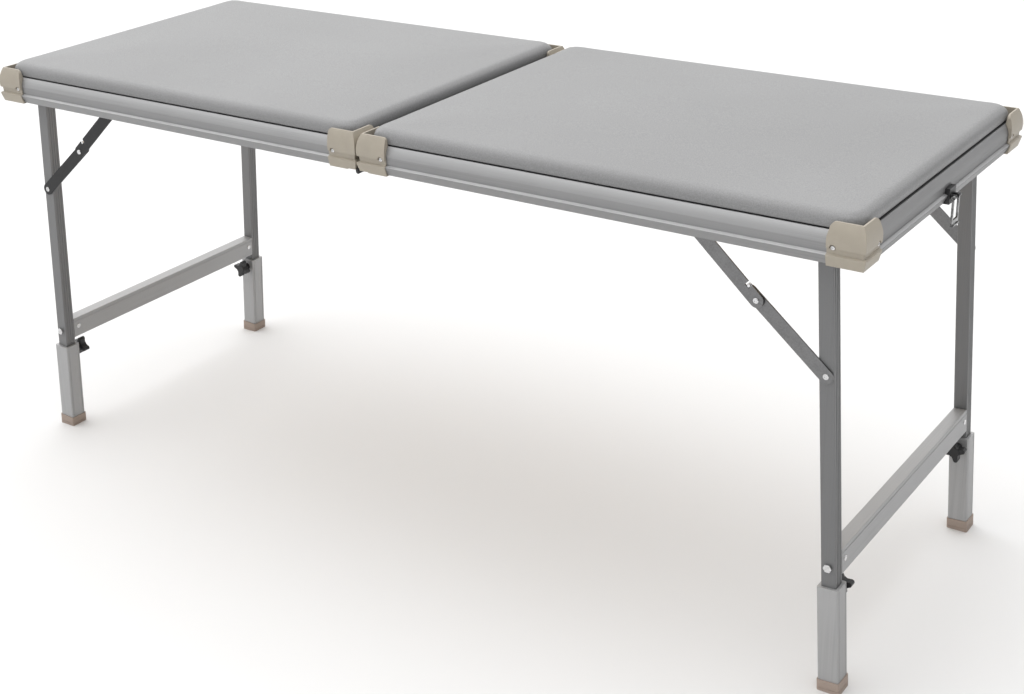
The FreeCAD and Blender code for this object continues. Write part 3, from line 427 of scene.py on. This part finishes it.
def rounded_outline(low, high, radius, steps):
    """Points round a rectangle with rounded corners, anticlockwise."""
    points = []
    centres = ((high.x - radius, high.y - radius, 0), (low.x + radius, high.y - radius, 90),
               (low.x + radius, low.y + radius, 180), (high.x - radius, low.y + radius, 270))
    for cx, cy, start in centres:
        for k in range(steps + 1):
            angle = math.radians(start + 90 * k / steps)
            points.append((cx + radius * math.cos(angle), cy + radius * math.sin(angle)))
    return points


def pad_profile():
    """Depth and rise of the pad's side: a short wall, then a rounded shoulder."""
    across, up = PAD_SHOULDER
    profile = [(0.0, 0.0)]
    for k in range(PAD_STEPS + 1):
        angle = math.radians(90 * k / PAD_STEPS)
        profile.append((across * (1 - math.cos(angle)), PAD_WALL + up * math.sin(angle)))
    return profile


def pad_block(low, high):
    """A slab a little smaller than the finished pad, with rounded corners and shoulders."""
    bm = bmesh.new()
    rings = []
    for depth, rise in pad_profile():
        shrink = Vector((PAD_INSET + depth, PAD_INSET + depth, 0))
        radius = PAD_CORNER - CORNER_TIGHTENS * depth
        outline = rounded_outline(low + shrink, high - shrink, radius, PAD_STEPS)
        rings.append([bm.verts.new((x, y, low.z + rise)) for x, y in outline])
    for lower, upper in zip(rings, rings[1:]):
        for k in range(len(lower)):
            n = (k + 1) % len(lower)
            bm.faces.new((lower[k], lower[n], upper[n], upper[k]))
    bm.faces.new(rings[-1])
    bm.faces.new(list(reversed(rings[0])))
    mesh = bpy.data.meshes.new("pad")
    bm.to_mesh(mesh)
    bm.free()
    return mesh


def apply_modifiers(thing):
    depsgraph = bpy.context.evaluated_depsgraph_get()
    mesh = bpy.data.meshes.new_from_object(thing.evaluated_get(depsgraph))
    thing.modifiers.clear()
    old = thing.data
    thing.data = mesh
    bpy.data.meshes.remove(old)


def points_of(mesh):
    flat = np.empty(len(mesh.vertices) * 3)
    mesh.vertices.foreach_get("co", flat)
    return flat.reshape(-1, 3)


def smoothed(field, mesh, rounds):
    """A vector at each vertex, averaged with its neighbours' several times over."""
    flat = np.empty(len(mesh.edges) * 2, dtype=np.int32)
    mesh.edges.foreach_get("vertices", flat)
    pairs = flat.reshape(-1, 2)
    count = np.bincount(flat, minlength=len(field))[:, None]
    for _ in range(rounds):
        total = np.zeros_like(field)
        np.add.at(total, pairs[:, 0], field[pairs[:, 1]])
        np.add.at(total, pairs[:, 1], field[pairs[:, 0]])
        field = (field + total / count) / 2
    return field


def inflate(pad, low):
    """Blows the cover up like a stuffed pad. The rim is held down, as it is stapled below."""
    rim = pad.vertex_groups.new(name="rim")
    rim.add([v.index for v in pad.data.vertices if v.co.z < low.z + PAD_WALL], 1.0, "REPLACE")
    start = points_of(pad.data)
    cloth = pad.modifiers.new("Cloth", "CLOTH")
    settings = cloth.settings
    settings.vertex_group_mass = "rim"
    settings.effector_weights.gravity = 0.0
    for key, value in CLOTH.items():
        setattr(settings, key, value)
    first, last = CLOTH_FRAMES
    cloth.point_cache.frame_start, cloth.point_cache.frame_end = first, last
    for step in range(first, last + 1):
        scene.frame_set(step)
    apply_modifiers(pad)
    scene.frame_set(first)
    swell = smoothed(points_of(pad.data) - start, pad.data, SWELL_ROUNDS)
    swell *= np.minimum(1.0, np.array(PAD_SWELL) / np.abs(swell).max(axis=0))
    pad.data.vertices.foreach_set("co", (start + swell).ravel())


def make_pad(low, high):
    pad = bpy.data.objects.new("pad", pad_block(low, high))
    scene.collection.objects.link(pad)
    remesh = pad.modifiers.new("Remesh", "REMESH")
    remesh.mode = "VOXEL"
    remesh.voxel_size = PAD_VOXEL
    smooth = pad.modifiers.new("Smooth", "SMOOTH")
    smooth.factor, smooth.iterations = SMOOTH_FACTOR, SMOOTH_ROUNDS
    apply_modifiers(pad)
    inflate(pad, low)
    return pad


def cushions():
    low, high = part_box("cushion_right")
    pad = make_pad(low, high)
    for side, sign in SIDES.items():
        mesh = pad.data.copy()
        if sign < 0:
            mesh.transform(Matrix.Scale(-1, 4, (1, 0, 0)))
            mesh.flip_normals()
        piece = bpy.data.objects.new(f"padded_cover_{side}", mesh)
        scene.collection.objects.link(piece)
        mesh.polygons.foreach_set("use_smooth", [True] * len(mesh.polygons))
        piece.modifiers.new("Subdivision", "SUBSURF").levels = 1
        paint(piece, "vinyl")
        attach(piece, f"{side}_top")
        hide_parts(f"cushion_{side}")
    bpy.data.objects.remove(pad)


cushions()


# ------------------------------------------------------- floor and light

FLOOR_REACH = 30.0
FLOOR_WHITE = 0.74
FLOOR_ROUGHNESS = 0.9
KEY_DIRECTION = (-0.40, 0.12, 0.90)
SKY_EDGE = -0.15
SKY_DARK, SKY_BRIGHT = 0.10, 2.05
LAMP_POWER, LAMP_SPREAD = 0.5, math.radians(60)


def make_floor():
    reach = FLOOR_REACH
    floor = bpy.data.objects.new("floor", bpy.data.meshes.new("floor"))
    corners = [(-reach, -reach, 0), (reach, -reach, 0), (reach, reach, 0), (-reach, reach, 0)]
    floor.data.from_pydata(corners, [], [(0, 1, 2, 3)])
    scene.collection.objects.link(floor)
    shader = Shader("floor_pale", roughness=FLOOR_ROUGHNESS)
    shader.bsdf.inputs["Base Color"].default_value = (FLOOR_WHITE, FLOOR_WHITE, FLOOR_WHITE, 1.0)
    floor.data.materials.append(shader.material)


def make_sky():
    """One broad soft light: brightest overhead and to the left, dark low down on the right."""
    world = bpy.data.worlds.new("studio")
    world.use_nodes = True
    nodes, links = world.node_tree.nodes, world.node_tree.links
    place = nodes.new("ShaderNodeTexCoord")
    facing = nodes.new("ShaderNodeVectorMath")
    facing.operation = "DOT_PRODUCT"
    facing.inputs[1].default_value = Vector(KEY_DIRECTION).normalized()
    level = nodes.new("ShaderNodeMapRange")
    level.inputs["From Min"].default_value = SKY_EDGE
    level.inputs["To Min"].default_value = SKY_DARK
    level.inputs["To Max"].default_value = SKY_BRIGHT
    links.new(place.outputs["Generated"], facing.inputs[0])
    links.new(facing.outputs["Value"], level.inputs["Value"])
    links.new(level.outputs["Result"], nodes["Background"].inputs["Strength"])
    nodes["Background"].inputs["Color"].default_value = (1.0, 1.0, 1.0, 1.0)
    scene.world = world


def make_lamp():
    sun = bpy.data.lights.new("overhead", "SUN")
    sun.energy = LAMP_POWER
    sun.angle = LAMP_SPREAD
    lamp = bpy.data.objects.new("overhead", sun)
    lamp.rotation_euler = Vector(KEY_DIRECTION).to_track_quat("Z", "Y").to_euler()
    scene.collection.objects.link(lamp)


make_floor()
make_sky()
make_lamp()
scene.view_settings.view_transform = "Standard"
